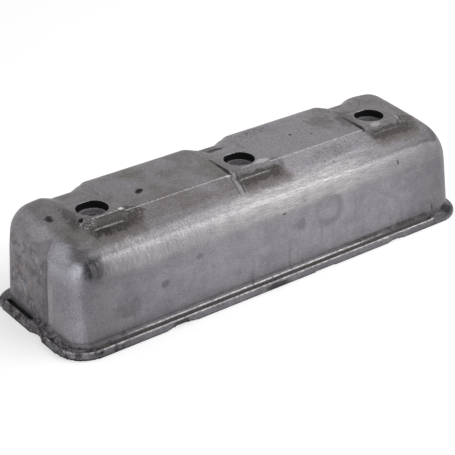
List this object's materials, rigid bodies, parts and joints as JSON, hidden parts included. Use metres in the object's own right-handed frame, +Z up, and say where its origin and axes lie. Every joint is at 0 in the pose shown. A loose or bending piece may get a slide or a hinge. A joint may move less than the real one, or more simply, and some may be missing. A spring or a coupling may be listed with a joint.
{
  "type": "engine valve cover",
  "caption": "Cast aluminium engine valve cover, a long deep hood open below, held down by studs through recessed pads along its roof.",
  "frame": {"origin": "middle of the gasket face, on the plane that the cover stands on", "axes": "+X along the cover, +Y from the sloped front of the roof to the scooped back, +Z up out of the roof"},
  "size_m": [0.45, 0.145, 0.0995],
  "materials": {
    "casting": "bare cast aluminium, dull grey, worn bright on the front shoulder, dirty round the stud pads"
  },
  "bodies": {
    "root": {"valve_cover": "casting"}
  },
  "joints": []
}
